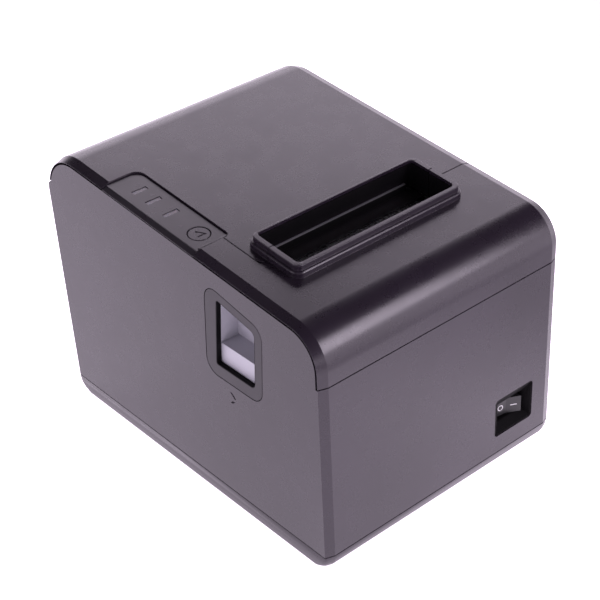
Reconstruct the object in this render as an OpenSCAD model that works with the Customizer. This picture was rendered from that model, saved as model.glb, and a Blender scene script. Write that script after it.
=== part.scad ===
// Desktop receipt printer with a rear-hinged lid, side release lever,
// raised paper slot, indicator panel and front power switch.
// Millimetres, +Z up, front face towards -Y, X to the right seen from the front.

/* [Case] */
// Width over the two side plates
width = 140; // [130:0.5:150]
// Depth from the front face to the rear-most edge of the side plates
depth = 190.5; // [180:0.5:200]
// Height of the top surface at the front plane
front_z = 120.7; // [110:0.1:130]
// Slope of the top surface, rising to the rear
slope = 5.2; // [2:0.1:8]
// Radius where the front face turns into the top
front_r = 18; // [10:0.5:24]
// Radius where the top turns into the rear face
rear_r = 22; // [12:0.5:28]
// Width of the sloping edge bands, across the case
band_w = 4.4; // [2:0.1:6]
// Drop of the edge bands
band_d = 1.6; // [0.8:0.1:2.4]
// Wall thickness of the body
wall = 2.4; // [1.6:0.1:3.5]
// Wall thickness of the lid and covers
skin = 1.85; // [1.4:0.05:2.4]

/* [Base] */
// Height of the joint between base tray and body
base_z = 8.2; // [6:0.1:12]
// Underside of the base tray
tray_z = 0.6; // [0.4:0.1:2]
// Foot diameter
foot_d = 14; // [8:0.5:20]

/* [Slot] */
// Half width of the paper slot
slot_hw = 46; // [41:0.5:50]
// Front edge of the slot
slot_y0 = -56.05; // [-60:0.05:-50]
// Rear edge of the slot
slot_y1 = -29.05; // [-34:0.05:-25]
// Height of the raised rim above the top surface
rim_h = 5.5; // [3:0.1:8]
// Line where front cover and lid meet
split_y = -40.75; // [-46:0.05:-36]

/* [Lid] */
// Hinge axis, distance behind the centre
hinge_y = 89.95; // [86:0.05:92]
// Hinge axis height
hinge_z = 106.5; // [100:0.1:110]
// Half width of the lid's rear tongue
tongue_hw = 52; // [40:0.5:58]

/* [Paper] */
// Radius of the paper bin
bin_r = 41.5; // [38:0.1:44]
// Bin axis, distance behind the centre
bin_y = 21.5; // [18:0.1:26]
// Bin axis height
bin_z = 77; // [70:0.5:82]

/* [Print mechanism] */
// Platen axis, distance behind the centre
platen_y = -34; // [-38:0.1:-30]
// Platen axis height
platen_z = 104; // [100:0.1:108]
// Platen roller radius
platen_r = 7.5; // [6:0.1:9]
// Gear module
gear_m = 0.8; // [0.5:0.1:1.2]
// Teeth of the platen gear
platen_teeth = 24; // [18:1:30]
// Teeth of the idler gear
idler_teeth = 30; // [24:1:36]
// Teeth of the motor pinion
pinion_teeth = 15; // [12:1:18]
// Travel of the cutter blade
blade_travel = 12; // [8:0.5:13]

/* [Controls] */
// Feed button diameter
button_d = 10.3; // [8:0.1:12]
// Lever pocket depth
pocket = 9.5; // [6:0.5:12]

/* [Hidden] */
$fn = 48;
yf = -depth / 2;
yr = depth / 2;
hw = width / 2;
rear_lean = 1.91;
seam = 2.8;
panel_d = 0.9;
slot_x1 = slot_hw - 2.1;
gap = 0.35;
run = 0.05;
pr_platen = platen_teeth * gear_m / 2;
pr_idler = idler_teeth * gear_m / 2;
pr_pinion = pinion_teeth * gear_m / 2;
idler_z = platen_z - pr_platen - pr_idler;
motor_y = platen_y - 6;
motor_z = idler_z - sqrt(pow(pr_idler + pr_pinion, 2) - 36);
mesh_a = atan2(motor_z - idler_z, motor_y - platen_y);
idler_step = 360 / idler_teeth;
mesh_off = mesh_a - round(mesh_a / idler_step) * idler_step;
pinion_phase = mesh_a + 180 + mesh_off * idler_teeth / pinion_teeth + 180 / pinion_teeth;
cut_y = -72;
cut_z = 107;
cut_teeth = 24;
cut_motor_teeth = 12;
cut_motor_z = cut_z - (cut_teeth + cut_motor_teeth) * gear_m / 2 - 0.05;
rel_y = -44.5;
rel_z = 69;
head_y = -46.5;
head_z = 80;
rack_x = 33;
blade_z = 113.6;
body_z = base_z + 0.45;
rock_x = 46.1;
rock_y = -87.35;
rock_z = 25.7;
btn_x = -58.8;
btn_y = -6.85;
lever_x0 = -hw + wall + 0.4;
pocket_x = lever_x0 + pocket;

function top_z(y) = front_z + (y - yf) * tan(slope);

// points of an arc of radius r that rounds the corner b between a and c
function corner(a, b, c, r, n) =
  let (u = (a - b) / norm(a - b))
  let (v = (c - b) / norm(c - b))
  let (half = acos(u * v) / 2)
  let (ctr = b + (u + v) / norm(u + v) * r / sin(half))
  let (p = b + u * r / tan(half) - ctr)
  let (q = b + v * r / tan(half) - ctr)
  let (a0 = atan2(p[1], p[0]))
  let (d = (atan2(q[1], q[0]) - a0 + 540) % 360 - 180)
  [for (k = [0 : n]) ctr + r * [cos(a0 + d * k / n), sin(a0 + d * k / n)]];

// side outline of the case, moved in by i, rear face moved in by j more
function outline(i, j, z0) =
  let (f = yf + i)
  let (rt = yr - i - j + (top_z(yr) - 117.5) * tan(rear_lean))
  let (rb = yr - i - j - (117.5 - z0) * tan(rear_lean))
  let (tf = top_z(f) - i / cos(slope))
  let (tr = top_z(rt) - i / cos(slope))
  concat([[f, z0]],
    corner([f, z0], [f, tf], [rt, tr], max(front_r - i, 1), 22),
    corner([f, tf], [rt, tr], [rb, z0], max(rear_r - i, 1), 22),
    [[rb, z0]]);

module x_slab(x0, x1) {
  translate([x0, 0, 0]) rotate([90, 0, 90]) linear_extrude(x1 - x0) children();
}

// case volume with sloping edge bands
module case_hull(xa, ia, xb, ib, j, z0) {
  hull() {
    x_slab(-xa, xa) polygon(outline(ia, j, z0));
    x_slab(-xb, xb) polygon(outline(ib, j, z0));
  }
}

// flat bar seen from the side as a box, y and z given as ranges
module bar(x, y, z) {
  translate([x[0], y[0], z[0]]) cube([x[1] - x[0], y[1] - y[0], z[1] - z[0]]);
}

// frame lying on the sloping top surface, y kept as the case's own y
module on_top(h = 0) {
  translate([0, yf, front_z]) rotate([slope, 0, 0]) translate([0, -yf, h]) children();
}

module x_rod(y, z, r, x0, x1) {
  translate([x0, y, z]) rotate([0, 90, 0]) cylinder(r = r, h = x1 - x0);
}

module round_box(x, y, h, r) {
  linear_extrude(h) translate([x[0] + r, y[0] + r])
    offset(r) square([x[1] - x[0] - 2 * r, y[1] - y[0] - 2 * r]);
}

module gear_2d(teeth, bore) {
  pr = teeth * gear_m / 2;
  difference() {
    union() {
      circle(r = pr - 0.98, $fn = 64);
      for (k = [0 : teeth - 1]) rotate(360 * k / teeth)
        polygon([[pr - 1.2, -0.86], [pr + 0.72, -0.26], [pr + 0.72, 0.26], [pr - 1.2, 0.86]]);
    }
    circle(r = bore, $fn = 48);
  }
}

module x_gear(y, z, teeth, phase, bore, x0, x1) {
  translate([x0, y, z]) rotate([90, 0, 90]) rotate(phase)
    linear_extrude(x1 - x0) gear_2d(teeth, bore);
}

// screw from below: cap at z, shank up
module screw_up(x, y, z, head_r, shank_r, l) {
  translate([x, y, z]) difference() {
    union() {
      cylinder(r = head_r, h = 2);
      cylinder(r = shank_r, h = l);
    }
    for (a = [0, 90]) rotate(a) translate([-head_r * 0.6, -0.4, -0.1]) cube([head_r * 1.2, 0.8, 1]);
  }
}

base_posts = [[-61, -60], [61, -60], [-61, 46], [61, 46]];
foot_at = [[-57, -80], [57, -80], [-57, 80], [57, 80]];

// ---------------------------------------------------------------- base

// one level of the tray: front, side and rear moved in by f, s and r
module tray_level(z, f, s, r, round_r) {
  y0 = yf + f;
  y1 = yr - 3.65 - r;
  x1 = hw - s;
  translate([0, 0, z]) linear_extrude(0.3) offset(round_r) offset(-round_r)
    polygon([[-x1 + band_w, y0], [x1 - band_w, y0], [x1, y0 + band_d], [x1, y1 - band_d],
      [x1 - band_w, y1], [-x1 + band_w, y1], [-x1, y1 - band_d], [-x1, y0 + band_d]]);
}

module base_tray() {
  color([0.24, 0.22, 0.25]) difference() {
    union() {
      difference() {
        union() {
          hull() {
            tray_level(base_z - 0.3, 0, 0, 0, 0.01);
            tray_level(4.5, 0.5, 0.05, 0.5, 1);
            tray_level(2.4, 1.8, 0.1, 1.8, 3);
            tray_level(tray_z, 4, 0.35, 4, 5);
          }
          // lip that the body drops over
          bar([-hw + 2.7, hw - 2.7], [yf + 2.7, 88.6], [base_z - 1, base_z + 2.2]);
        }
        bar([-hw + 3.9, hw - 3.9], [yf + 3.9, 87.4], [tray_z + 2, base_z + 3]);
      }
      for (p = base_posts) translate([p[0], p[1], tray_z + 0.5]) cylinder(r = 5.5, h = 6.3);
      for (p = foot_at) translate([p[0], p[1], tray_z + 0.3]) cylinder(r = foot_d / 2 + 1.6, h = 3);
      for (x = [-52, 52]) for (y = [-48, 62]) translate([x, y, tray_z + 1]) cylinder(r = 3.5, h = 9.4);
    }
    for (p = base_posts) translate([p[0], p[1], -1]) {
      cylinder(r = 3.6, h = 4.6);
      cylinder(r = 1.7, h = 20);
    }
    for (p = foot_at) translate([p[0], p[1], -1]) cylinder(r = foot_d / 2 + 0.1, h = 3.4);
    for (x = [-52, 52]) for (y = [-48, 62]) translate([x, y, 4]) cylinder(r = 1.25, h = 10);
    for (k = [-4 : 4]) bar([k * 6 - 1.2, k * 6 + 1.2], [-12, 18], [0, 6]);
  }
}

module rubber_feet() {
  color([0.06, 0.06, 0.06]) for (p = foot_at) translate([p[0], p[1], 0]) {
    cylinder(r1 = foot_d / 2 - 0.8, r2 = foot_d / 2, h = 1);
    translate([0, 0, 1]) cylinder(r = foot_d / 2, h = 1.4);
  }
}

module base_screws() {
  color([0.7, 0.7, 0.72]) for (p = base_posts) screw_up(p[0], p[1], 1.6, 2.9, 1.45, 14);
}

// ---------------------------------------------------------------- body

module bezel_shape(grow) {
  offset(grow) polygon(concat(
    corner([-60, 116], [-57.45, 70.1], [-20.15, 70.1], 7, 8),
    corner([-57.45, 70.1], [-20.15, 70.1], [-23.25, 116.4], 7, 8),
    corner([-20.15, 70.1], [-23.25, 116.4], [-60.15, 109.2], 7, 8),
    corner([-23.25, 116.4], [-60.15, 109.2], [-57.45, 70.1], 7, 8)));
}

module window_shape() {
  polygon(concat(
    corner([-55.05, 105.5], [-52.95, 76.5], [-27.55, 76.5], 2.5, 5),
    corner([-52.95, 76.5], [-27.55, 76.5], [-30.85, 110.5], 0.8, 3),
    corner([-27.55, 76.5], [-30.85, 110.5], [-55.05, 105.5], 1, 3),
    corner([-30.85, 110.5], [-55.05, 105.5], [-52.95, 76.5], 3, 5)));
}

module arrow_mark() {
  translate([-37.5, 62.8])
    polygon([[-2.6, 0], [0.8, 2.9], [2.2, 2.9], [-1, 0], [2.2, -2.9], [0.8, -2.9]]);
}

module body_shell() {
  color([0.24, 0.22, 0.25]) difference() {
    union() {
      difference() {
        intersection() {
          case_hull(hw - band_w, 0, hw, band_d, 0, body_z);
          union() {
            bar([-80, 80], [-100, 100], [0, 97.3]);
            bar([-80, 80], [70, 100], [0, 117.2]);
            for (s = [-1, 1]) x_slab(min(s * (hw - wall), s * 71), max(s * (hw - wall), s * 71))
              polygon(outline(seam, 0.95, body_z));
          }
        }
        x_slab(-hw + wall, hw - wall) polygon(outline(wall, 0, 0));
      }
      // screw columns
      for (p = base_posts) translate([p[0], p[1], base_z]) cylinder(r = 4.2, h = 24);
      for (s = [-1, 1]) for (y = [-60, 46])
        bar([min(s * 60, s * 68), max(s * 60, s * 68)], [y - 1, y + 1], [11, 32]);
      // hinge lugs
      for (s = [-1, 1]) {
        x_rod(hinge_y, hinge_z, 4.3, min(s * 53, s * 60), max(s * 53, s * 60));
        bar([min(s * 53, s * 60), max(s * 53, s * 60)], [hinge_y, 93.2], [hinge_z - 4.3, hinge_z + 4.3]);
        bar([min(s * 53, s * 68), max(s * 53, s * 68)], [hinge_y - 1.5, hinge_y + 1.5],
          [hinge_z - 4.2, hinge_z]);
      }
    }
    // gap for the lid's tongue
    bar([-tongue_hw - 0.6, tongue_hw + 0.6], [80, 100], [101.3, 130]);
    // lever opening
    x_slab(-80, -60) bezel_shape(0.3);
    x_slab(-80, -hw + 0.6) arrow_mark();
    // switch window
    translate([0, -80, 0]) rotate([90, 0, 0])
      round_box([32.4, 56.9], [17.7, 38.3], 20, 2);
    // port bay
    bar([-64, 64], [85, 100], [10.5, 34]);
    // screw holes
    for (p = base_posts) translate([p[0], p[1], base_z - 1]) cylinder(r = 1.35, h = 18);
    for (s = [-1, 1]) x_rod(hinge_y, hinge_z, 2, min(s * 50, s * 58.3), max(s * 50, s * 58.3));
  }
}

module lever_bezel() {
  color([0.2, 0.19, 0.21]) difference() {
    union() {
      x_slab(-hw, -hw + wall - 0.1) bezel_shape(0);
      difference() {
        x_slab(-hw + wall + 0.05, -hw + wall + 1.4) bezel_shape(2.2);
        x_slab(-hw + wall - 1, -hw + 6) bezel_shape(-1.2);
      }
      difference() {
        x_slab(-hw + 1, -hw + wall + 0.6) bezel_shape(0);
        x_slab(-hw, -hw + 6) bezel_shape(-1.2);
      }
    }
    x_slab(-80, -60) offset(0.25) window_shape();
  }
}

// black lining of the lever window
module lever_collar() {
  color([0.05, 0.05, 0.05]) x_slab(-hw + 0.1, -hw + wall) difference() {
    offset(0.24) window_shape();
    window_shape();
  }
}

module front_cover() {
  color([0.24, 0.22, 0.25]) difference() {
    union() {
      difference() {
        case_hull(hw - band_w, 0, hw, band_d, 0.95, 97.8);
        x_slab(-80, 80) polygon(outline(skin, 0.95, 60));
        cover_cut();
      }
      // locating lip behind the body's front wall
      difference() {
        bar([-64, 64], [yf + wall + 0.1, yf + wall + 1.6], [91, 100]);
        bar([-50, 50], [-100, -80], [80, 94]);
      }
      bar([-64, 64], [yf + skin - 0.3, yf + wall + 1.6], [98.5, 100]);
      difference() {
        rim();
        bar([-80, 80], [split_y - 0.2, 100], [90, 150]);
      }
    }
    slot_hole();
  }
}

// everything of the top skin that is not the front cover
module cover_cut() {
  bar([-53.6, 90], [split_y - 0.2, 120], [60, 160]);
  bar([-90, 90], [-17.05, 120], [60, 160]);
  difference() {
    bar([-53.7, -48], [split_y - 5, split_y], [60, 160]);
    translate([-48.2, split_y - 5.4, 60]) cylinder(r = 5.4, h = 100);
    bar([-80, -40], [-60, split_y - 0.2], [60, 160]);
  }
}

// ring with its top edge taken off by t
module tier(x, y, h0, h1, r, t) {
  translate([0, 0, h0]) hull() {
    round_box(x, y, h1 - h0 - t, r);
    round_box([x[0] + t, x[1] - t], [y[0] + t, y[1] - t], h1 - h0, r - t);
  }
}

module rim() {
  on_top() tier([-slot_hw - 3.7, slot_x1 + 3.6], [-59.45, -26.7], -1, 2.9, 4.6, 0.55);
  on_top() tier([-slot_hw - 2.5, slot_x1 + 2.4], [-58.05, -27.95], -1, rim_h, 3.3, 0.2);
}

module slot_hole() {
  on_top(-16) {
    round_box([-slot_hw, slot_x1], [slot_y0, slot_y1], 40, 2.2);
    round_box([-slot_hw - 1.25, slot_x1 + 1.25], [slot_y0 - 1.25, slot_y1 + 0.65], 14.4 + rim_h, 2.8);
  }
}

// dark frame that lines the paper exit between two planes across the case
module exit_guide(y0, y1) {
  intersection() {
    on_top(-8.5) difference() {
      round_box([-slot_hw - 1.2, slot_x1 + 1.2], [slot_y0 - 1.2, slot_y1 + 0.6], rim_h + 6.6, 2.75);
      translate([0, 0, -1]) round_box([-slot_hw, slot_x1], [slot_y0, slot_y1], 20, 2.2);
    }
    bar([-80, 80], [y0, y1], [90, 150]);
  }
}

module exit_guide_front() {
  color([0.05, 0.05, 0.05]) exit_guide(-90, split_y - 0.2);
}

module exit_guide_rear() {
  color([0.05, 0.05, 0.05]) exit_guide(split_y + 0.2, 0);
}

// ---------------------------------------------------------------- indicator panel

led_y = [35.45, 25.25, 12.95];
mark_y = [39.25, 29.45, 16.45];

module indicator_panel() {
  color([0.2, 0.19, 0.22]) difference() {
    union() {
      intersection() {
        difference() {
          case_hull(66.3, panel_d, hw, 1.9, 0.95, 97.8);
          x_slab(-67.2, 80) polygon(outline(3.1, 0.95, 60));
          x_slab(-80, 80) polygon(outline(skin + 0.5, 0.95, 60));
        }
        bar([-71, -67], [-16.8, 47.6], [100, 150]);
      }
      intersection() {
        difference() {
          union() {
            x_slab(-67.6, 0) polygon(outline(panel_d, 0.95, 60));
            intersection() {
              x_slab(-66.2, 0) polygon(outline(0.15, 0.95, 60));
              bar([-80, 0], [-16.8, -15.7], [100, 150]);
            }
          }
          x_slab(-68, 80) polygon(outline(3.1, 0.95, 40));
        }
        translate([0, 0, 100]) linear_extrude(60) hull() {
          translate([-67.4, -16.8]) square([10, 64.4]);
          translate([-54.8, 42.8]) circle(r = 4.8);
          translate([-52.6, -14.2]) circle(r = 2.6);
        }
      }
      // collar that guides the button
      on_top(-8.2) translate([btn_x, btn_y, 0]) cylinder(r = button_d / 2 + 1.6, h = 6);
    }
    on_top(-12) translate([btn_x, btn_y, 0]) cylinder(r = button_d / 2 + 0.08, h = 20);
    for (y = led_y) on_top(-6) translate([-58.5, y, 0]) linear_extrude(10)
      square([7.7, 2.2], center = true);
  }
}

module arrow_small() {
  polygon([[0, 1.2], [0, -1.2], [2.6, 0]]);
}

// generic symbols: ring, triangle, bar
module mark_field(y) {
  translate([-56.5, y, 0]) linear_extrude(0.06) {
    if (y > 36) difference() {
      circle(r = 1.35, $fn = 24);
      circle(r = 0.85, $fn = 24);
    }
    if (y > 24 && y < 36) polygon([[-1.5, -1.1], [1.5, -1.1], [0, 1.4]]);
    if (y < 24) square([3, 1], center = true);
  }
}

module panel_marks() {
  color([0.3, 0.3, 0.3]) on_top(-panel_d - 0.04) {
    for (y = mark_y) mark_field(y);
    translate([-62, 2.6, 0]) linear_extrude(0.06) arrow_small();
  }
}

module light_pipes() {
  color([0.5, 0.5, 0.52, 0.8]) for (y = led_y) on_top(-6.4) translate([-58.5, y, 0]) {
    translate([-3.75, -1, 0]) cube([7.5, 2, 6.1 - panel_d]);
    translate([-4.4, -1.7, 0]) cube([8.8, 3.4, 2.2]);
  }
}

module panel_board() {
  color([0.1, 0.35, 0.16]) on_top(-10.4) {
    translate([-66.6, -14, 0]) cube([15.6, 56, 1.2]);
    for (y = led_y) translate([-60.1, y - 0.8, 1.1]) cube([3.2, 1.6, 1.2]);
    translate([btn_x - 3, btn_y - 3, 1.1]) cube([6, 6, 1.4]);
  }
}

module feed_button() {
  color([0.24, 0.22, 0.25]) on_top(-6.4) translate([btn_x, btn_y, 0]) difference() {
    union() {
      cylinder(r = button_d / 2 - 0.02, h = 5.9 - panel_d);
      translate([0, 0, 5.9 - panel_d]) cylinder(r1 = button_d / 2 - 0.02, r2 = button_d / 2 - 0.5, h = 0.45);
    }
    translate([0, 0, 5.95 - panel_d]) linear_extrude(2) rotate(90) difference() {
      polygon([[-1.9, -2.7], [-1.9, 2.7], [2.7, 0]]);
      polygon([[-1.1, -1.5], [-1.1, 1.5], [1.3, 0]]);
    }
    translate([0, 0, -1]) cylinder(r = button_d / 2 - 1.2, h = 4);
  }
}

// ---------------------------------------------------------------- paper bin

module paper_bin() {
  color([0.16, 0.15, 0.17]) difference() {
    union() {
      x_rod(bin_y, bin_z, bin_r + 2, -43.5, 43.5);
      bar([-43.5, 43.5], [bin_y - bin_r - 2, bin_y + bin_r + 2], [bin_z, 112]);
      bar([-66.8, 66.8], [-19.5, 83.5], [110, 112]);
      for (s = [-1, 1]) bar([min(s * 41.6, s * 43.5), max(s * 41.6, s * 43.5)], [-19.5, 83.5], [70, 111]);
      for (s = [-1, 1]) for (y = [0, 40]) translate([s * 36, y, 13.6]) cylinder(r = 3, h = 34);
    }
    x_rod(bin_y, bin_z, bin_r, -bin_r, bin_r);
    bar([-bin_r, bin_r], [bin_y - bin_r, bin_y + bin_r], [bin_z, 130]);
    for (s = [-1, 1]) for (y = [12, 30]) bar([s * 36 - 0.5, s * 36 + 0.5], [y, y + 4], [20, 50]);
  }
}

module near_end_sensor() {
  color([0.12, 0.12, 0.13]) {
    bar([44.2, 50], [24, 36], [44, 56]);
    bar([50, 52], [26, 34], [40, 60]);
  }
}

// ---------------------------------------------------------------- print mechanism

module chassis_side(s) {
  x_slab(s * 46.25 - 0.75, s * 46.25 + 0.75) difference() {
    union() {
      polygon([[-80, 45], [-62, 45], [-58, 56], [-24, 56], [-24, 112], [-50, 112], [-54, 108],
        [-60, 111], [-84, 111], [-84, 96], [-80, 90]]);
      translate([-76, 8.6]) square([10, 38]);
    }
    // notch for the platen bush
    translate([platen_y, platen_z]) circle(r = 5.4, $fn = 48);
    translate([platen_y - 5.4, platen_z]) square([10.8, 20]);
    translate([cut_y, cut_z]) circle(r = 2 + run, $fn = 48);
    translate([rel_y, rel_z]) circle(r = 3 + run, $fn = 48);
    translate([head_y, head_z]) circle(r = 2, $fn = 48);
    if (s > 0) translate([platen_y, idler_z]) circle(r = 2, $fn = 48);
    if (s < 0) translate([cut_y, cut_motor_z]) circle(r = 2.5, $fn = 48);
  }
}

module print_chassis() {
  color([0.62, 0.63, 0.65]) {
    for (s = [-1, 1]) chassis_side(s);
    bar([-46, 46], [-80, -57], [56, 57.5]);
    bar([-46, 46], [-58.5, -57], [96, 107]);
    bar([-46, 46], [-84, -82.6], [98, 104]);
    for (s = [-1, 1]) bar([s * 46.25 - 5, s * 46.25 + 5], [-76, -66], [8.6, 10]);
    // motor spacers
    for (p = [[-62, 66], [-25.5, 62]]) x_rod(p[0], p[1], 2.4, 46, 55.2);
  }
}

module head_pivot() {
  color([0.7, 0.7, 0.72]) x_rod(head_y, head_z, 2, -48.2, 48.2);
}

module head_bracket() {
  color([0.6, 0.61, 0.63]) difference() {
    union() {
      bar([-41, 41], [-49.3, -45.2], [80, 110]);
      x_rod(head_y, head_z, 4, -44.8, 44.8);
      for (k = [-3 : 3]) bar([k * 11 - 1, k * 11 + 1], [-51.5, -49], [88, 96]);
    }
    x_rod(head_y, head_z, 2 + run, -60, 60);
    bar([-36, -6], [-50, -40], [70, 84.5]);
    bar([6, 36], [-50, -40], [70, 84.5]);
  }
}

module thermal_head() {
  color([0.82, 0.8, 0.74]) {
    bar([-40, 40], [-45.15, -43], [85, 110]);
    bar([-40, 40], [-43.05, -42], [98, 110]);
    x_rod(-42.1, platen_z, 0.3, -38, 38);
    bar([-14, 14], [-43.05, -41.9], [86, 91]);
  }
}

module coil_y(x, y0, z, r, w, turns, len) {
  for (k = [0 : turns]) translate([x, y0 + w + k * (len - 2 * w) / turns, z]) rotate([90, 0, 0])
    rotate_extrude($fn = 32) translate([r, 0]) circle(r = w, $fn = 14);
  translate([x + r, y0 + 0.2, z]) rotate([-90, 0, 0]) cylinder(r = w * 0.7, h = len - 0.4, $fn = 14);
}

module head_springs() {
  color([0.75, 0.75, 0.77]) for (x = [-27, 27]) coil_y(x, -56.9, 102, 3, 0.45, 4, 5.8);
}

module feed_motor() {
  color([0.55, 0.55, 0.57]) difference() {
    union() {
      x_rod(motor_y, motor_z, 17, 56.1, 66.6);
      bar([55.3, 56.2], [-66, -21.5], [56, 78]);
      x_rod(motor_y, motor_z, 5, 55.3, 56.4);
    }
    x_rod(motor_y, motor_z, 1.5 + run, 50, 62);
  }
}

module motor_pinion() {
  color([0.72, 0.6, 0.35]) {
    x_gear(motor_y, motor_z, pinion_teeth, pinion_phase, 1, 50, 54);
    x_rod(motor_y, motor_z, 1.5, 49.6, 60);
  }
}

module idler_gear() {
  color([0.85, 0.85, 0.82]) x_gear(platen_y, idler_z, idler_teeth, 0, 2 + run, 50.1, 54);
}

module idler_pin() {
  color([0.7, 0.7, 0.72]) {
    x_rod(platen_y, idler_z, 2, 45.5, 55);
    x_rod(platen_y, idler_z, 3, 54.4, 55.2);
    x_rod(platen_y, idler_z, 3, 47.2, 49.7);
  }
}

// ---------------------------------------------------------------- platen

module platen_roller() {
  color([0.09, 0.09, 0.1]) difference() {
    x_rod(platen_y, platen_z, platen_r, -40, 40);
    x_rod(platen_y, platen_z, 2.5, -50, 50);
  }
}

module platen_shaft() {
  color([0.72, 0.72, 0.74]) x_rod(platen_y, platen_z, 2.5, -48.1, 55);
}

module platen_gear() {
  color([0.85, 0.85, 0.82]) x_gear(platen_y, platen_z, platen_teeth, 0, 2.5, 50, 54);
}

module platen_bushes() {
  color([0.8, 0.78, 0.7]) for (s = [-1, 1]) difference() {
    union() {
      x_rod(platen_y, platen_z, 5, min(s * 43.9, s * 48), max(s * 43.9, s * 48));
      x_rod(platen_y, platen_z, 5.2, min(s * 43.9, s * 45.1), max(s * 43.9, s * 45.1));
    }
    x_rod(platen_y, platen_z, 2.5 + run, -60, 60);
  }
}

module platen_holder() {
  color([0.18, 0.17, 0.19]) difference() {
    union() {
      for (s = [-1, 1]) {
        x_slab(min(s * 41.2, s * 43.4), max(s * 41.2, s * 43.4))
          polygon([[-38.6, 100], [-29, 99.4], [-24.5, 104], [-24.5, 117.6], [-38.6, 117.6]]);
        x_rod(platen_y, platen_z, 4.6, min(s * 41.2, s * 43.4), max(s * 41.2, s * 43.4));
        // post up to the lid, behind the slot
        bar([min(s * 30, s * 43.4), max(s * 30, s * 43.4)], [-26.7, -24.5], [112, 125]);
      }
      bar([-43.4, 43.4], [-38.6, -26.4], [116.75, 117.6]);
    }
    x_rod(platen_y, platen_z, 2.5 + run, -60, 60);
  }
}

module tear_bar() {
  color([0.45, 0.45, 0.47]) bar([-40, 40], [-29.9, -29.1], [117.6, 121.4]);
}

module fixed_blade() {
  color([0.75, 0.76, 0.78]) difference() {
    bar([-41, 41], [-40.2, -29.4], [115.5, 116.6]);
    translate([0, -40.2, 115.5]) rotate([35, 0, 0]) translate([-50, -4, -3]) cube([100, 4, 3]);
    for (x = [-36, 36]) translate([x, -33, 110]) cylinder(r = 1.2, h = 10);
  }
}

// ---------------------------------------------------------------- cutter

module cutter_frame() {
  color([0.5, 0.51, 0.53]) difference() {
    union() {
      for (s = [-1, 1]) bar([min(s * 42.6, s * 45.2), max(s * 42.6, s * 45.2)], [-84, -50], [109.5, 114.9]);
      bar([-45, 45], [-84, -50.5], [112, 113.2]);
    }
    bar([rack_x - 6, rack_x + 6], [-90, -54], [100, 113.21]);
    x_rod(cut_y, cut_z, 2.3, -60, 60);
  }
}

module cutter_blade() {
  color([0.78, 0.79, 0.81]) {
    difference() {
      bar([-42.2, 42.2], [-68, -52.6], [blade_z, blade_z + 1]);
      translate([0, -52.6, 110]) linear_extrude(10) polygon([[-41, 0.1], [41, 0.1], [0, -4]]);
      for (x = [-20, 20]) bar([x - 8, x + 8], [-66, -60], [110, 120]);
    }
    bar([rack_x - 2.5, rack_x + 2.5], [-86, -58], [blade_z + 0.3, blade_z + 1.7]);
    // rack teeth
    for (k = [-5 : 0]) translate([rack_x - 2, cut_y + k * PI * gear_m, cut_z + 6]) rotate([90, 0, 90])
      linear_extrude(4) polygon([[-0.88, 1], [-0.28, -0.7], [0.28, -0.7], [0.88, 1]]);
  }
}

module cutter_shaft() {
  color([0.72, 0.72, 0.74]) {
    x_rod(cut_y, cut_z, 2, -54, 48);
    x_gear(cut_y, cut_z, 15, 6, 1, rack_x - 3, rack_x + 3);
    x_gear(cut_y, cut_z, cut_teeth, 0, 1, -54, -50);
  }
}

module cutter_motor() {
  color([0.5, 0.5, 0.52]) difference() {
    union() {
      x_rod(cut_y, cut_motor_z, 10.5, -43.5, -14);
      x_rod(cut_y, cut_motor_z, 4, -45.4, -43);
      x_rod(cut_y, cut_motor_z, 4, -14.1, -12);
    }
    x_rod(cut_y, cut_motor_z, 1 + run, -50, -30);
  }
}

module cutter_pinion() {
  color([0.72, 0.6, 0.35]) {
    x_gear(cut_y, cut_motor_z, cut_motor_teeth, 15, 0.5, -54, -50);
    x_rod(cut_y, cut_motor_z, 1, -54, -32);
  }
}

// ---------------------------------------------------------------- electronics

module main_board() {
  color([0.08, 0.3, 0.14]) difference() {
    bar([-55, 55], [-56, 84], [12, 13.6]);
    for (x = [-52, 52]) for (y = [-48, 62]) translate([x, y, 10]) cylinder(r = 1.7, h = 6);
  }
}

module board_parts() {
  color([0.12, 0.12, 0.13]) {
    bar([-12, 6], [-20, -2], [13.6, 15.4]);
    bar([14, 24], [-30, -18], [13.6, 15]);
    bar([-34, -24], [-34, -24], [13.6, 16]);
    for (k = [0 : 2]) translate([-44, -40 + k * 13, 13.6]) cylinder(r = 4, h = 11);
    for (k = [0 : 4]) bar([28 + k * 4, 30 + k * 4], [-46, -42], [13.6, 14.6]);
    bar([-16, 16], [-54.6, -50.6], [13.6, 17]);
    bar([34, 46], [8, 14], [13.6, 20]);
  }
}

module board_screws() {
  color([0.7, 0.7, 0.72]) for (x = [-52, 52]) for (y = [-48, 62]) translate([x, y, 13.6]) difference() {
    union() {
      cylinder(r = 2.6, h = 1.8);
      translate([0, 0, -8]) cylinder(r = 1.25, h = 8.2);
    }
    for (a = [0, 90]) rotate(a) translate([-1.6, -0.35, 1]) cube([3.2, 0.7, 1]);
  }
}

module head_ribbon() {
  color([0.8, 0.78, 0.7]) bar([-14, 14], [-52.8, -52.4], [17, 62]);
}

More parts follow.
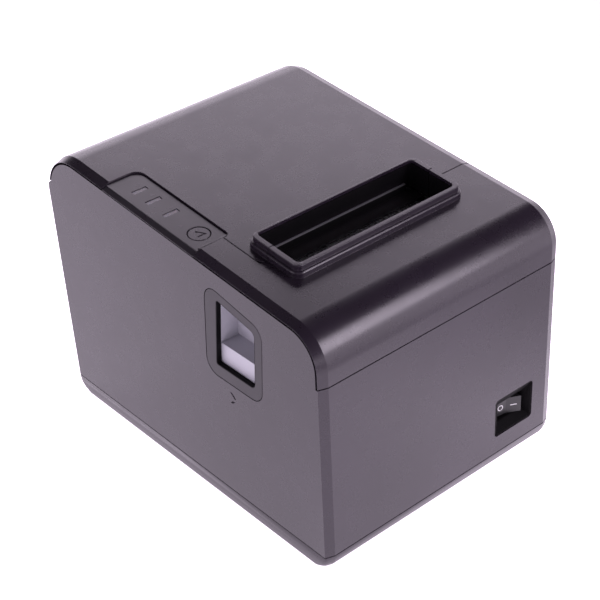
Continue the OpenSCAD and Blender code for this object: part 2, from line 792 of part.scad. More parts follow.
module power_switch() {
  color([0.1, 0.1, 0.11]) difference() {
    union() {
      translate([0, -91, 0]) rotate([90, 0, 0]) round_box([32.6, 56.7], [17.9, 38.1], 4, 1.8);
      bar([31.5, 57.8], [-92.5, -79.9], [16.8, 39.2]);
      bar([30, 59.3], [-92.5, -91.3], [14.6, 41.4]);
      for (x = [38, 45, 52]) bar([x - 0.4, x + 0.4], [-80, -77], [24, 28]);
    }
    // recess tapering in to the rocker
    hull() {
      bar([33, 56.3], [-95.1, -95], [18.3, 37.7]);
      bar([39.1, 54.7], [-90.5, -90.4], [20.9, 30.5]);
    }
    bar([39.1, 54.7], [-93, -83.4], [20.9, 30.5]);
    // bearings of the rocker
    translate([rock_x, rock_y, 19.9]) cylinder(r = 1 + run, h = 11.6);
  }
}

module rocker_plan() {
  polygon([[-6.5, 1.4], [-6.5, -1], [0, -1.9], [6.4, -5.4], [6.4, 1.4]]);
}

module power_rocker() {
  color([0.13, 0.13, 0.14]) translate([rock_x, rock_y, rock_z]) {
    translate([0, 0, -4.4]) linear_extrude(8.8) rocker_plan();
    translate([0, 0, -5.5]) cylinder(r = 1, h = 11);
  }
}

module rocker_marks() {
  color([0.85, 0.85, 0.85]) translate([rock_x, rock_y, rock_z]) {
    translate([-3.3, -1.45, 0]) rotate([90, 0, -7.9]) translate([0, 0, -0.1])
      rotate_extrude($fn = 32) translate([1.1, 0]) square([0.45, 0.14]);
    translate([3.2, -3.65, 0]) rotate([0, 0, -28.7]) translate([-1.6, -0.04, -0.25])
      cube([3.2, 0.14, 0.5]);
  }
}

// a socket block: outer size, mouth size and depth of the cavity, face at y1
module socket(x, y, z, mx, mz, d) {
  difference() {
    bar(x, y, z);
    bar(mx, [y[1] - d, y[1] + 1], mz);
  }
}

module dc_jack() {
  color([0.1, 0.1, 0.11]) difference() {
    bar([40, 56], [72, 88], [13.6, 29.6]);
    translate([48, 89, 21.6]) rotate([90, 0, 0]) cylinder(r = 6, h = 11);
  }
}

module usb_port() {
  color([0.75, 0.75, 0.77]) difference() {
    socket([20, 32], [74, 88], [13.6, 24.6], [21, 31], [14.6, 23.6], 10);
  }
}

module lan_port() {
  color([0.7, 0.7, 0.72]) socket([-2, 14], [70, 88], [13.6, 27.4], [0, 12], [16, 25], 14);
}

module drawer_port() {
  color([0.12, 0.12, 0.13]) socket([-22, -8], [72, 88], [13.6, 26], [-20, -10], [15.6, 23], 12);
}

module serial_port() {
  color([0.6, 0.6, 0.62]) {
    difference() {
      bar([-60, -26], [76, 84.6], [13.6, 26]);
      for (x = [-56.8, -29.2]) translate([x, 90, 19.8]) rotate([90, 0, 0]) cylinder(r = 1.4, h = 8);
    }
    for (k = [-4 : 4]) translate([-43 + k * 2.2, 90, 21.4]) rotate([90, 0, 0]) cylinder(r = 0.5, h = 6);
    for (k = [-4 : 3]) translate([-41.9 + k * 2.2, 90, 18.4]) rotate([90, 0, 0]) cylinder(r = 0.5, h = 6);
    difference() {
      bar([-53.5, -32.5], [84.5, 90], [15.8, 24]);
      bar([-52.8, -33.2], [85.5, 91], [16.5, 23.3]);
    }
  }
}

module port_plate() {
  color([0.66, 0.67, 0.69]) difference() {
    bar([-62, 62], [84.8, 85.8], [9.4, 35.4]);
    bar([39.7, 56.3], [80, 90], [13.3, 29.9]);
    bar([19.7, 32.3], [80, 90], [13.3, 24.9]);
    bar([-2.3, 14.3], [80, 90], [13.3, 27.7]);
    bar([-22.3, -7.7], [80, 90], [13.3, 26.3]);
    bar([-53.8, -32.2], [80, 90], [15.5, 24.3]);
    for (x = [-56.8, -29.2]) translate([x, 90, 19.8]) rotate([90, 0, 0]) cylinder(r = 1.6, h = 10);
  }
}

// ---------------------------------------------------------------- lid

module lid() {
  color([0.24, 0.22, 0.25]) difference() {
    union() {
      difference() {
        case_hull(hw - band_w, 0, hw, band_d, 0.95, 104);
        x_slab(-80, 80) polygon(outline(skin, 0.95, 60));
        // front cover, strip and panel
        bar([-90, 90], [-120, split_y + 0.2], [60, 160]);
        translate([0, 0, 60]) linear_extrude(100) {
          translate([-80, -60]) square([26.75, 60]);
          difference() {
            translate([-53.4, split_y - 1]) square([5.2, 5.2]);
            translate([-48.2, split_y + 4.2]) circle(r = 5.05);
            translate([-48.2, split_y - 2]) square([2, 8]);
          }
          hull() {
            translate([-80, -18]) square([10, 65.8]);
            translate([-54.8, 42.8]) circle(r = 5.05);
            translate([-52.6, -14.2]) circle(r = 2.85);
          }
        }
        // rear edge beside the tongue
        for (s = [-1, 1]) {
          bar([min(s * (tongue_hw + 0.01), s * 90), max(s * (tongue_hw + 0.01), s * 90)],
            [80, 120], [60, 118.07]);
          x_rod(hinge_y, hinge_z, 12.35, min(s * (tongue_hw + 0.01), s * 80),
            max(s * (tongue_hw + 0.01), s * 80));
        }
        bar([-90, 90], [80, 120], [60, hinge_z]);
      }
      // tongue and knuckle
      intersection() {
        bar([-tongue_hw, tongue_hw], [hinge_y, 100], [hinge_z, 126]);
        difference() {
          case_hull(hw - band_w, 0, hw, band_d, 0.95, 104);
          x_slab(-80, 80) polygon(outline(3, 0.95, 60));
        }
      }
      x_rod(hinge_y, hinge_z, 4.3, -tongue_hw, tongue_hw);
      difference() {
        rim();
        bar([-80, 80], [-120, split_y + 0.2], [90, 150]);
      }
      // screw bosses and ribs under the skin
      for (x = [-38, 38]) for (y = [-12, 64]) on_top(-7.6) translate([x, y, 0]) cylinder(r = 2.8, h = 6);
      for (x = [-44, 44]) intersection() {
        x_slab(x - 0.8, x + 0.8) polygon(outline(skin - 0.2, 0.95, 60));
        bar([-60, 60], [-22, 82], [118, 160]);
        on_top(-7) translate([-80, -100, 0]) cube([160, 220, 20]);
      }
    }
    slot_hole();
    for (x = [-38, 38]) for (y = [-12, 64]) on_top(-8) translate([x, y, 0]) cylinder(r = 1.2, h = 4.6);
    for (s = [-1, 1]) x_rod(hinge_y, hinge_z, 2 + run, min(s * 43, s * 60), max(s * 43, s * 60));
  }
}

module lid_liner() {
  color([0.18, 0.17, 0.19]) difference() {
    on_top(-9.4) translate([-43, -20.5, 0]) difference() {
      cube([86, 92, 7.2]);
      translate([1.6, 1.6, 1.6]) cube([82.8, 88.8, 10]);
    }
    for (x = [-38, 38]) for (y = [-12, 64]) on_top(-14) translate([x, y, 0]) cylinder(r = 1.4, h = 8);
  }
}

module lid_screws() {
  color([0.7, 0.7, 0.72]) for (x = [-38, 38]) for (y = [-12, 64]) on_top(-11.2) translate([x, y, 0])
    difference() {
      union() {
        cylinder(r = 2.5, h = 1.7);
        cylinder(r = 1.25, h = 7);
      }
      for (a = [0, 90]) rotate(a) translate([-1.6, -0.35, -0.2]) cube([3.2, 0.7, 0.8]);
    }
}

module hinge_pins() {
  color([0.72, 0.72, 0.74]) for (s = [-1, 1])
    x_rod(hinge_y, hinge_z, 2, min(s * 44, s * 58.3), max(s * 44, s * 58.3));
}

// ---------------------------------------------------------------- release

module open_lever() {
  color([0.66, 0.66, 0.68]) difference() {
    union() {
      // finger lip below the pocket
      x_slab(lever_x0, pocket_x + 2) polygon([[-52.5, 75], [-25.5, 75], [-25.5, 86.5], [-53.5, 86.5]]);
      // back and rear walls of the pocket
      x_slab(pocket_x, pocket_x + 2) polygon([[-54, 86.4], [-25.5, 86.4], [-27.5, 113], [-54, 113]]);
      x_slab(lever_x0, pocket_x + 2) polygon([[-28, 86.4], [-25.5, 86.4], [-27.7, 109.6], [-30.6, 109.6]]);
      // arm down to the shaft
      x_slab(pocket_x - 4, pocket_x + 2) polygon([[-51, 69], [-38, 69], [-34, 76], [-51, 76]]);
      x_rod(rel_y, rel_z, 6.5, pocket_x - 4, pocket_x + 2);
    }
    x_rod(rel_y, rel_z, 3, -80, -50);
  }
}

module release_shaft() {
  color([0.72, 0.72, 0.74]) x_rod(rel_y, rel_z, 3, pocket_x - 4, 49.65);
}

module latch_hooks() {
  color([0.6, 0.6, 0.62]) for (s = [-1, 1]) difference() {
    union() {
      x_slab(s * 49 - 0.6, s * 49 + 0.6) polygon([[-48.5, 69], [-40.5, 69], [-40, 102], [-37.2, 104.4],
        [-37.2, 107], [-41, 109.5], [-45.5, 108], [-46.5, 90]]);
      x_rod(rel_y, rel_z, 5, s * 49 - 0.6, s * 49 + 0.6);
    }
    x_rod(rel_y, rel_z, 3, -60, 60);
  }
}

module lever_spring() {
  color([0.75, 0.75, 0.77]) {
    for (k = [0 : 4]) translate([-55.2 + k * 1.15, rel_y, rel_z]) rotate([0, 90, 0])
      rotate_extrude($fn = 32) translate([3.9, 0]) circle(r = 0.4, $fn = 14);
    translate([-55.5, rel_y, rel_z - 3.9]) rotate([0, 90, 0]) cylinder(r = 0.35, h = 5, $fn = 14);
  }
}

base_tray();
rubber_feet();
base_screws();
body_shell();
lever_bezel();
lever_collar();
front_cover();
exit_guide_front();
exit_guide_rear();
indicator_panel();
panel_marks();
light_pipes();
panel_board();
feed_button();
paper_bin();
near_end_sensor();
print_chassis();
head_pivot();
head_bracket();
thermal_head();
head_springs();
feed_motor();
motor_pinion();
idler_gear();
idler_pin();
platen_roller();
platen_shaft();
platen_gear();
platen_bushes();
platen_holder();
tear_bar();
fixed_blade();
cutter_frame();
cutter_blade();
cutter_shaft();
cutter_motor();
cutter_pinion();
main_board();
board_parts();
board_screws();
head_ribbon();
power_switch();
power_rocker();
rocker_marks();
dc_jack();
usb_port();
lan_port();
drawer_port();
serial_port();
port_plate();
lid();
lid_liner();
lid_screws();
hinge_pins();
open_lever();
release_shaft();
latch_hooks();
lever_spring();
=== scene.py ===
import bpy
import math
from mathutils import Matrix, Vector

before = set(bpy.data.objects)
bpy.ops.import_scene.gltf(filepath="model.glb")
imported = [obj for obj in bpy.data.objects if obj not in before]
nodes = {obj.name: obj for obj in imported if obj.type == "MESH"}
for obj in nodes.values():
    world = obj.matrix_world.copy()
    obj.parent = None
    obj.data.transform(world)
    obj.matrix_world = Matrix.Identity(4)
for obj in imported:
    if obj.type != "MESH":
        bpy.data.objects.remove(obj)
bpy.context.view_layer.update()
MM = 0.001


# ---------------------------------------------------------------- camera

def add_camera(azimuth, elevation, roll, target, distance, lens):
    """Camera placed by its direction from target (0 = front, 90 = right), angles in degrees."""
    a, e, r = (math.radians(v) for v in (azimuth, elevation, roll))
    back = Vector((math.sin(a) * math.cos(e), -math.cos(a) * math.cos(e), math.sin(e)))
    side = Vector((math.cos(a), math.sin(a), 0))
    up = back.cross(side)
    right = side * math.cos(r) + up * math.sin(r)
    up = back.cross(right)
    data = bpy.data.cameras.new("camera")
    data.sensor_width = 36
    data.lens = lens
    data.clip_start, data.clip_end = 0.05, 20
    cam = bpy.data.objects.new("camera", data)
    spot = Vector(target) + back * distance
    cam.matrix_world = Matrix((
        (right.x, up.x, back.x, spot.x), (right.y, up.y, back.y, spot.y),
        (right.z, up.z, back.z, spot.z), (0, 0, 0, 1)))
    bpy.context.scene.collection.objects.link(cam)
    bpy.context.scene.camera = cam


# the view of the photograph, worked out from the straight edges of the case
add_camera(azimuth=-39.36, elevation=33.68, roll=-2.89,
           target=(-0.0017, -0.0024, 0.0651), distance=0.73, lens=94.2)


# ---------------------------------------------------------------- node helpers

# sockets of the Mix node that are in use for colours
MIX_FACTOR, MIX_A, MIX_B, MIX_RESULT = 0, 6, 7, 2


class Net:
    """A material's node tree, with one short call for each kind of node."""

    def __init__(self, name):
        self.mat = bpy.data.materials.new(name)
        self.mat.use_nodes = True
        self.tree = self.mat.node_tree
        self.tree.nodes.clear()
        self.out = self.tree.nodes.new("ShaderNodeOutputMaterial")
        self.bsdf = self.tree.nodes.new("ShaderNodeBsdfPrincipled")
        self.link(self.bsdf.outputs[0], self.out.inputs["Surface"])
        self.coord = self.tree.nodes.new("ShaderNodeTexCoord").outputs["Object"]

    def link(self, a, b):
        self.tree.links.new(a, b)

    def set(self, socket, value):
        if isinstance(value, bpy.types.NodeSocket):
            self.link(value, socket)
        else:
            socket.default_value = value

    def noise(self, scale, detail=2.0, rough=0.5, stretch=None):
        """Noise, about scale features to the metre; stretch multiplies scale along X, Y, Z."""
        n = self.tree.nodes.new("ShaderNodeTexNoise")
        n.inputs["Scale"].default_value = scale
        n.inputs["Detail"].default_value = detail
        n.inputs["Roughness"].default_value = rough
        if stretch:
            m = self.tree.nodes.new("ShaderNodeMapping")
            m.inputs["Scale"].default_value = stretch
            self.link(self.coord, m.inputs["Vector"])
            self.link(m.outputs[0], n.inputs["Vector"])
        else:
            self.link(self.coord, n.inputs["Vector"])
        return n.outputs["Fac"]

    def cells(self, scale):
        """Distance to the nearest of scattered points, about scale to the metre."""
        n = self.tree.nodes.new("ShaderNodeTexVoronoi")
        n.inputs["Scale"].default_value = scale
        self.link(self.coord, n.inputs["Vector"])
        return n.outputs["Distance"]

    def math(self, op, a, b=0.0, clamp=False):
        n = self.tree.nodes.new("ShaderNodeMath")
        n.operation = op
        n.use_clamp = clamp
        self.set(n.inputs[0], a)
        self.set(n.inputs[1], b)
        return n.outputs[0]

    def span(self, value, lo, hi, to_lo, to_hi):
        """Maps lo..hi onto to_lo..to_hi and holds the ends."""
        n = self.tree.nodes.new("ShaderNodeMapRange")
        n.inputs["From Min"].default_value = lo
        n.inputs["From Max"].default_value = hi
        n.inputs["To Min"].default_value = to_lo
        n.inputs["To Max"].default_value = to_hi
        self.link(value, n.inputs["Value"])
        return n.outputs[0]

    def blend(self, fac, a, b):
        n = self.tree.nodes.new("ShaderNodeMix")
        n.data_type = "RGBA"
        self.set(n.inputs[MIX_FACTOR], fac)
        self.set(n.inputs[MIX_A], a)
        self.set(n.inputs[MIX_B], b)
        return n.outputs[MIX_RESULT]

    def edge(self, radius, strength):
        """0 on flat faces, towards 1 on outer edges."""
        b = self.tree.nodes.new("ShaderNodeBevel")
        b.samples = 4
        b.inputs["Radius"].default_value = radius
        g = self.tree.nodes.new("ShaderNodeNewGeometry")
        d = self.tree.nodes.new("ShaderNodeVectorMath")
        d.operation = "DOT_PRODUCT"
        self.link(b.outputs[0], d.inputs[0])
        self.link(g.outputs["Normal"], d.inputs[1])
        turned = self.math("SUBTRACT", 1.0, d.outputs["Value"])
        return self.math("MULTIPLY", turned, strength, True)

    def inside(self, low, high):
        """1 inside the box from low to high, 0 outside it."""
        x = self.tree.nodes.new("ShaderNodeSeparateXYZ")
        self.link(self.coord, x.inputs[0])
        fac = 1.0
        for k in range(3):
            fac = self.math("MULTIPLY", self.math("GREATER_THAN", x.outputs[k], low[k]), fac)
            fac = self.math("MULTIPLY", self.math("LESS_THAN", x.outputs[k], high[k]), fac)
        return fac

    def bump(self, height, strength, distance, under=None):
        """Normal for a height; under is another bump below this one."""
        n = self.tree.nodes.new("ShaderNodeBump")
        n.inputs["Strength"].default_value = strength
        n.inputs["Distance"].default_value = distance
        self.link(height, n.inputs["Height"])
        if under:
            self.link(under, n.inputs["Normal"])
        return n.outputs[0]


def rgb(r, g, b):
    return (r, g, b, 1.0)


GRAIN = 2600                            # spark texture of moulded plastic, grains to the metre
GRAIN_STRENGTH, GRAIN_DEPTH = 0.048, 0.00006
WAVE_STRENGTH, WAVE_DEPTH = 0.12, 0.0006    # sink and flow waves below the grain
EDGE_WEAR_AND_HIGHLIGHT_RADIUS = 0.0006                    # how far the lighter plastic edges reach: rubbed wear and painted edge highlight
# how far the lighter colour on metal edges reaches
METAL_BRIGHT_EDGE_RADIUS = 0.0003
EDGE_GAIN = 3.0
PAINT_GREY = (0.07, 0.062, 0.074)


def plastic(name, dark, light, rough, wear_and_highlight=0.3, ior=1.5, inlay=None):
    """Moulded plastic with a fine spark texture, cloudy tone and lighter edges, partly rubbed wear
    and partly painted edge highlight.

    inlay is a box, low and high corner, in which the surface is painted grey."""
    n = Net(name)
    cloud = n.noise(18, 4, 0.6)
    speck = n.noise(GRAIN * 0.7, 2, 0.7)
    edge = n.edge(EDGE_WEAR_AND_HIGHLIGHT_RADIUS, EDGE_GAIN)
    # edges painted lighter: partly rubbed wear, partly painted edge highlight
    scuff_and_highlight = n.math("MULTIPLY", edge, n.span(n.noise(220, 3, 0.6), 0.4, 0.7, 0.1, 1.0))
    tone = n.blend(n.span(cloud, 0.35, 0.65, 0.0, 1.0), rgb(*dark), rgb(*light))
    pale_wear_and_highlight = [min(1, c * 1.9 + 0.02) for c in light]
    tone = n.blend(n.span(speck, 0.62, 0.8, 0.0, 0.06), tone, rgb(*pale_wear_and_highlight))
    tone = n.blend(n.math("MULTIPLY", scuff_and_highlight, wear_and_highlight), tone, rgb(*pale_wear_and_highlight))
    if inlay:
        tone = n.blend(n.inside(*inlay), tone, rgb(*PAINT_GREY))
    n.link(tone, n.bsdf.inputs["Base Color"])
    r = n.span(n.noise(90, 5, 0.65), 0.3, 0.7, rough[0], rough[1])
    n.link(n.math("SUBTRACT", r, n.math("MULTIPLY", edge, 0.08)), n.bsdf.inputs["Roughness"])
    n.bsdf.inputs["IOR"].default_value = ior
    pits = n.math("ADD", n.noise(GRAIN, 3, 0.6), n.math("MULTIPLY", n.cells(GRAIN * 0.6), 0.5))
    wave = n.bump(n.noise(14, 2, 0.4), WAVE_STRENGTH, WAVE_DEPTH)
    n.link(n.bump(pits, GRAIN_STRENGTH, GRAIN_DEPTH, wave), n.bsdf.inputs["Normal"])
    return n.mat


LONG_LINES = (6, 900, 900)              # rolling or turning lines that run along X
CROSS_LINES = (900, 8, 900)             # grinding lines that run along Y


def black_shade_with_bare_edge(name, edge_z):
    """Near-black paint, partly blackened steel and partly painted shade inside the slot, with a bare
    metal edge above the height edge_z.
    """
    n = Net(name)
    x = n.tree.nodes.new("ShaderNodeSeparateXYZ")
    n.link(n.coord, x.inputs[0])
    bare = n.span(x.outputs["Z"], edge_z, edge_z + 0.0001, 0.0, 1.0)
    lines = n.noise(1, 3, 0.6, LONG_LINES)
    shade_black, edge = rgb(0.003, 0.003, 0.0035), rgb(0.5, 0.49, 0.52)
    n.link(n.blend(bare, shade_black, edge), n.bsdf.inputs["Base Color"])
    n.link(bare, n.bsdf.inputs["Metallic"])
    n.link(n.span(lines, 0.3, 0.7, 0.4, 0.6), n.bsdf.inputs["Roughness"])
    n.bsdf.inputs["IOR"].default_value = 1.25
    n.link(n.bump(lines, 0.08, 0.00004), n.bsdf.inputs["Normal"])
    return n.mat


def metal(name, tint, rough, stretch=LONG_LINES):
    """Rolled or turned metal: fine lines, faint stains, brighter edges."""
    n = Net(name)
    lines = n.noise(1, 3, 0.6, stretch)
    stain = n.noise(35, 4, 0.6)
    edge = n.edge(METAL_BRIGHT_EDGE_RADIUS, EDGE_GAIN)
    low = [c * 0.78 for c in tint]
    bright = [min(1, c * 1.25) for c in tint]
    tone = n.blend(n.span(stain, 0.35, 0.7, 0.0, 1.0), rgb(*low), rgb(*tint))
    n.link(n.blend(n.math("MULTIPLY", edge, 0.5), tone, rgb(*bright)), n.bsdf.inputs["Base Color"])
    n.bsdf.inputs["Metallic"].default_value = 1.0
    n.link(n.span(lines, 0.3, 0.7, rough[0], rough[1]), n.bsdf.inputs["Roughness"])
    n.link(n.bump(lines, 0.1, 0.00005), n.bsdf.inputs["Normal"])
    return n.mat


def rubber(name, tone):
    """Dull rubber with pale dust in patches."""
    n = Net(name)
    dust = n.span(n.noise(60, 5, 0.7), 0.45, 0.75, 0.0, 0.35)
    dusty = [c * 2.2 + 0.02 for c in tone]
    n.link(n.blend(dust, rgb(*tone), rgb(*dusty)), n.bsdf.inputs["Base Color"])
    n.link(n.span(n.noise(300, 3), 0.3, 0.7, 0.6, 0.85), n.bsdf.inputs["Roughness"])
    n.link(n.bump(n.noise(1800, 3, 0.6), 0.25, 0.00008), n.bsdf.inputs["Normal"])
    return n.mat


def board(name):
    """Solder mask with tracks showing faintly through it."""
    n = Net(name)
    w = n.tree.nodes.new("ShaderNodeTexBrick")
    w.inputs["Scale"].default_value = 90
    w.inputs["Mortar Size"].default_value = 0.03
    w.inputs["Color1"].default_value = rgb(0.02, 0.12, 0.045)
    w.inputs["Color2"].default_value = rgb(0.025, 0.15, 0.055)
    w.inputs["Mortar"].default_value = rgb(0.05, 0.24, 0.09)
    n.link(n.coord, w.inputs["Vector"])
    cloud = n.span(n.noise(50, 3), 0.4, 0.7, 0.0, 0.4)
    n.link(n.blend(cloud, w.outputs["Color"], rgb(0.015, 0.08, 0.03)), n.bsdf.inputs["Base Color"])
    n.link(n.span(n.noise(120, 3), 0.3, 0.7, 0.25, 0.4), n.bsdf.inputs["Roughness"])
    n.link(n.bump(w.outputs["Fac"], 0.2, 0.00005), n.bsdf.inputs["Normal"])
    return n.mat


def milky(name, tone):
    """Cloudy plastic that lets a little light through."""
    n = Net(name)
    cloud = n.span(n.noise(300, 3), 0.4, 0.7, 0.0, 1.0)
    deep = [c * 0.8 for c in tone]
    n.link(n.blend(cloud, rgb(*tone), rgb(*deep)), n.bsdf.inputs["Base Color"])
    n.bsdf.inputs["Subsurface Weight"].default_value = 0.3
    n.bsdf.inputs["Subsurface Scale"].default_value = 0.001
    n.link(n.span(n.noise(500, 2), 0.3, 0.7, 0.2, 0.35), n.bsdf.inputs["Roughness"])
    return n.mat


CASE = ((0.013, 0.009, 0.015), (0.017, 0.012, 0.020), (0.25, 0.31))     # dark, light, roughness
MATS = {
    "case_plastic": plastic("case_plastic", *CASE),
    "trim_plastic": plastic("trim_plastic", (0.011, 0.008, 0.013), (0.015, 0.011, 0.017),
                            (0.27, 0.34)),
    # darker, less glossy copy of the trim plastic: painted shade for the bezel's tilted face
    "bezel_plastic": plastic("bezel_plastic", (0.010, 0.008, 0.012), (0.013, 0.010, 0.015),
                             (0.30, 0.38), ior=1.4),
    # near-black and dull: partly black plastic, partly painted shade in recesses such as the switch
    # housing
    "matte_black": plastic("matte_black", (0.0020, 0.0018, 0.0022), (0.0035, 0.0030, 0.0038),
                           (0.55, 0.7), wear_and_highlight=0.1, ior=1.2),
    # near-black, darker than the case: partly black plastic, partly painted shade inside the slot
    "inner_plastic": plastic("inner_plastic", (0.0045, 0.004, 0.005), (0.007, 0.006, 0.0075),
                             (0.45, 0.6), ior=1.3),
    "lever_plastic": plastic("lever_plastic", (0.43, 0.43, 0.475), (0.48, 0.48, 0.525),
                             (0.35, 0.5)),
    "black_plastic": plastic("black_plastic", (0.005, 0.005, 0.0055), (0.008, 0.0075, 0.0085),
                             (0.25, 0.4)),
    "faint_paint": plastic("faint_paint", (0.03, 0.026, 0.032), (0.04, 0.034, 0.042),
                           (0.3, 0.4), wear_and_highlight=0.0),
    "mark_paint": plastic("mark_paint", (0.5, 0.5, 0.5), (0.62, 0.62, 0.62),
                          (0.4, 0.55), wear_and_highlight=0.0),
    "clear_plastic": milky("clear_plastic", (0.14, 0.13, 0.15)),
    "rubber": rubber("rubber", (0.02, 0.02, 0.021)),
    "steel": metal("steel", (0.62, 0.62, 0.63), (0.3, 0.45)),
    "bright_steel": metal("bright_steel", (0.7, 0.7, 0.72), (0.15, 0.3)),
    "blade_steel": metal("blade_steel", (0.6, 0.61, 0.63), (0.2, 0.35), CROSS_LINES),
    "head_aluminium": metal("head_aluminium", (0.66, 0.67, 0.68), (0.3, 0.45)),
    "ceramic": plastic("ceramic", (0.62, 0.58, 0.5), (0.7, 0.66, 0.58), (0.15, 0.25), wear_and_highlight=0.1),
    "motor_metal": metal("motor_metal", (0.42, 0.42, 0.44), (0.3, 0.5)),
    "brass": metal("brass", (0.72, 0.52, 0.24), (0.2, 0.35)),
    "gear_plastic": plastic("gear_plastic", (0.6, 0.59, 0.54), (0.68, 0.67, 0.62),
                            (0.35, 0.5), wear_and_highlight=0.1),
    "board": board("board"),
    "flex": plastic("flex", (0.55, 0.5, 0.38), (0.62, 0.57, 0.45), (0.3, 0.45), wear_and_highlight=0.1),
}

for o in nodes.values():
    for s in o.material_slots:
        s.material = MATS[s.material.name.split(".")[0]]

# the floor of the chevron pocket below the lever window is painted
POCKET = ((-0.0698, -0.0425, 0.0585), (-0.0692, -0.0325, 0.067))
TEAR_EDGE_Z = 0.1207
nodes["body_shell"].material_slots[0].material = plastic("case_marked", *CASE, inlay=POCKET)
# the tear bar is painted near-black below its top edge: partly blackened steel, partly painted shade
# inside the slot
nodes["tear_bar"].material_slots[0].material = black_shade_with_bare_edge("tear_steel", TEAR_EDGE_Z)


# ---------------------------------------------------------------- surface finish of the CAD pieces

def smooth_group(angle):
    """Shades faces smooth and keeps edges sharper than angle hard."""
    g = bpy.data.node_groups.new("smooth_%d" % angle, "GeometryNodeTree")
    g.interface.new_socket("Geometry", in_out="INPUT", socket_type="NodeSocketGeometry")
    g.interface.new_socket("Geometry", in_out="OUTPUT", socket_type="NodeSocketGeometry")
    start = g.nodes.new("NodeGroupInput")
    end = g.nodes.new("NodeGroupOutput")
    faces = g.nodes.new("GeometryNodeSetShadeSmooth")
    faces.domain = "FACE"
    edges = g.nodes.new("GeometryNodeSetShadeSmooth")
    edges.domain = "EDGE"
    turn = g.nodes.new("GeometryNodeInputMeshEdgeAngle")
    test = g.nodes.new("FunctionNodeCompare")
    test.operation = "LESS_EQUAL"
    test.inputs[1].default_value = math.radians(angle)
    g.links.new(turn.outputs["Unsigned Angle"], test.inputs[0])
    g.links.new(start.outputs[0], faces.inputs["Geometry"])
    g.links.new(faces.outputs[0], edges.inputs["Geometry"])
    g.links.new(test.outputs[0], edges.inputs["Shade Smooth"])
    g.links.new(edges.outputs[0], end.inputs[0])
    return g


SMOOTH = smooth_group(40)
SMOOTH_ARCS = smooth_group(12)
CURVED_ENDS = ("lid", "front_cover")    # crescent-shaped end faces, cut into triangles
EDGES = {                               # widths of rounded edges, mm
    "lid": 0.12, "front_cover": 0.12, "lever_bezel": 0.25, "indicator_panel": 0.2,
    "open_lever": 0.25, "power_switch": 0.25, "power_rocker": 0.25,
}
WELD = 0.01                             # mm
FLAT_ANGLE = 0.6                        # facets that turn less than this are joined
BEVEL_ANGLE, BEVEL_SEGMENTS = 15, 3     # edges that turn more than this are rounded


def finish_cad(o, width):
    """Joins the facets, rounds the edges by width in mm and shades flat faces truly flat."""
    weld = o.modifiers.new("weld", "WELD")
    weld.merge_threshold = WELD * MM
    if width:
        flat = o.modifiers.new("flat", "DECIMATE")
        flat.decimate_type = "DISSOLVE"
        flat.angle_limit = math.radians(FLAT_ANGLE)
        if o.name.split(".")[0] in CURVED_ENDS:
            cut = o.modifiers.new("cut", "TRIANGULATE")
            cut.ngon_method = "BEAUTY"
        b = o.modifiers.new("bevel", "BEVEL")
        b.width = width * MM
        b.segments = BEVEL_SEGMENTS
        b.limit_method = "ANGLE"
        b.angle_limit = math.radians(BEVEL_ANGLE)
        b.use_clamp_overlap = False
        b.miter_outer = "MITER_ARC"
    s = o.modifiers.new("smooth", "NODES")
    s.node_group = SMOOTH_ARCS if o is nodes["body_shell"] else SMOOTH
    if width:
        w = o.modifiers.new("normals", "WEIGHTED_NORMAL")
        w.mode = "FACE_AREA"
        w.weight = 50
        w.keep_sharp = True


for name, o in nodes.items():
    finish_cad(o, EDGES.get(name, 0.0))


# ---------------------------------------------------------------- floor and light

TINT = (1.06, 0.94, 1.10)               # colour of all the light
FLOOR_REACH = 4.0
GLOW_TURN = 68                          # degrees from the rear to the right, the brighter way
GLOW_FROM, GLOW_TO = (-0.25, 1.0), (0.3, 1.9)       # distance and strength
PATCH_TOWARDS = (0.8, -0.6, 0)          # front right, where the floor has a darker patch
PATCH_START, PATCH_END = (0.125, 1.0), (0.225, 0.3)
PATCH_FAR_START, PATCH_FAR_END = (0.3, 0.0), (0.55, 1.0)


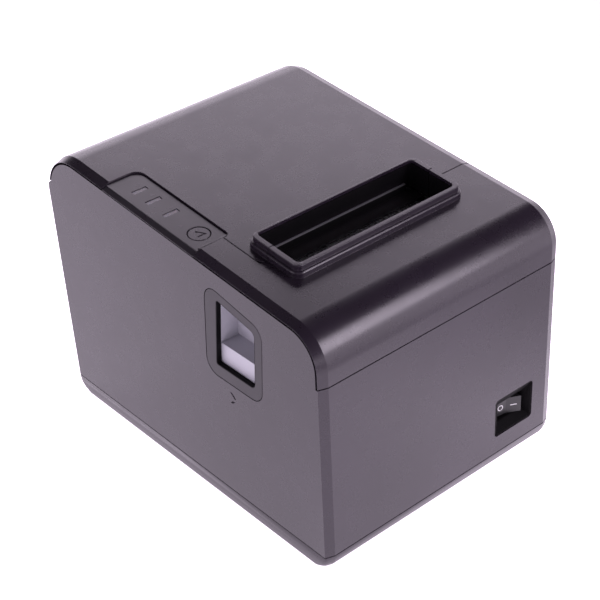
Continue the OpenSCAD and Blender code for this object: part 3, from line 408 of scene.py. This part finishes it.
def add_floor():
    """Pale floor lit from below like a light table, brighter to one side, with a darker patch."""
    mesh = bpy.data.meshes.new("floor")
    r = FLOOR_REACH
    mesh.from_pydata([(-r, -r, 0), (r, -r, 0), (r, r, 0), (-r, r, 0)], [], [(0, 1, 2, 3)])
    o = bpy.data.objects.new("floor", mesh)
    bpy.context.scene.collection.objects.link(o)
    n = Net("floor")
    cloud = n.span(n.noise(3, 3), 0.3, 0.7, 0.0, 1.0)
    n.link(n.blend(cloud, rgb(0.80, 0.80, 0.81), rgb(0.83, 0.83, 0.84)), n.bsdf.inputs["Base Color"])
    n.bsdf.inputs["Roughness"].default_value = 0.8
    n.bsdf.inputs["Specular IOR Level"].default_value = 0.2
    n.bsdf.inputs["Emission Color"].default_value = rgb(*TINT)
    m = n.tree.nodes.new("ShaderNodeMapping")
    m.inputs["Rotation"].default_value = (0, 0, math.radians(GLOW_TURN))
    n.link(n.coord, m.inputs["Vector"])
    x = n.tree.nodes.new("ShaderNodeSeparateXYZ")
    n.link(m.outputs[0], x.inputs[0])
    away = n.tree.nodes.new("ShaderNodeVectorMath")
    away.operation = "DOT_PRODUCT"
    away.inputs[1].default_value = PATCH_TOWARDS
    n.link(n.coord, away.inputs[0])

    def ramp(value, start, end):
        return n.span(value, start[0], end[0], start[1], end[1])

    glow = ramp(x.outputs["Y"], GLOW_FROM, GLOW_TO)
    fade = n.math("MAXIMUM", ramp(away.outputs["Value"], PATCH_START, PATCH_END),
                  ramp(away.outputs["Value"], PATCH_FAR_START, PATCH_FAR_END))
    n.link(n.math("MULTIPLY", glow, fade), n.bsdf.inputs["Emission Strength"])
    o.data.materials.append(n.mat)


def add_light(name, azimuth, elevation, distance, aim, size, radiance):
    """Soft box of even brightness, placed by its direction from aim (0 = front, 90 = right)."""
    a, e = math.radians(azimuth), math.radians(elevation)
    way = Vector((math.sin(a) * math.cos(e), -math.cos(a) * math.cos(e), math.sin(e)))
    spot = Vector(aim) + distance * way
    data = bpy.data.lights.new(name, "AREA")
    data.shape = "RECTANGLE"
    data.size, data.size_y = size
    data.energy = math.pi * size[0] * size[1] * radiance
    data.color = TINT
    o = bpy.data.objects.new(name, data)
    o.location = spot
    o.rotation_euler = (Vector(aim) - spot).to_track_quat("-Z", "Y").to_euler()
    bpy.context.scene.collection.objects.link(o)


WALL_LOW, WALL_HIGH = (-0.02, 2.4), (0.45, 0.06)        # sine of elevation and strength


def add_world():
    """Studio walls: bright near the horizon, dark overhead."""
    world = bpy.data.worlds.new("studio")
    bpy.context.scene.world = world
    world.use_nodes = True
    t = world.node_tree
    back = t.nodes["Background"]
    g = t.nodes.new("ShaderNodeTexCoord")
    x = t.nodes.new("ShaderNodeSeparateXYZ")
    t.links.new(g.outputs["Generated"], x.inputs[0])
    m = t.nodes.new("ShaderNodeMapRange")
    m.interpolation_type = "SMOOTHSTEP"
    m.inputs["From Min"].default_value, m.inputs["To Min"].default_value = WALL_LOW
    m.inputs["From Max"].default_value, m.inputs["To Max"].default_value = WALL_HIGH
    t.links.new(x.outputs["Z"], m.inputs["Value"])
    t.links.new(m.outputs[0], back.inputs["Strength"])
    back.inputs["Color"].default_value = rgb(*TINT)


add_floor()
add_world()
add_light("rear", azimuth=137, elevation=29, distance=1.2,
          aim=(0, 0, 0.125), size=(1.1, 0.62), radiance=2.4)
add_light("front", azimuth=35, elevation=25, distance=0.6,
          aim=(-0.1, -0.09, 0.115), size=(0.32, 0.26), radiance=8.4)
add_light("left", azimuth=-100, elevation=35, distance=1.1,
          aim=(-0.07, 0, 0.08), size=(0.7, 0.5), radiance=1.5)

bpy.context.scene.view_settings.view_transform = "Standard"
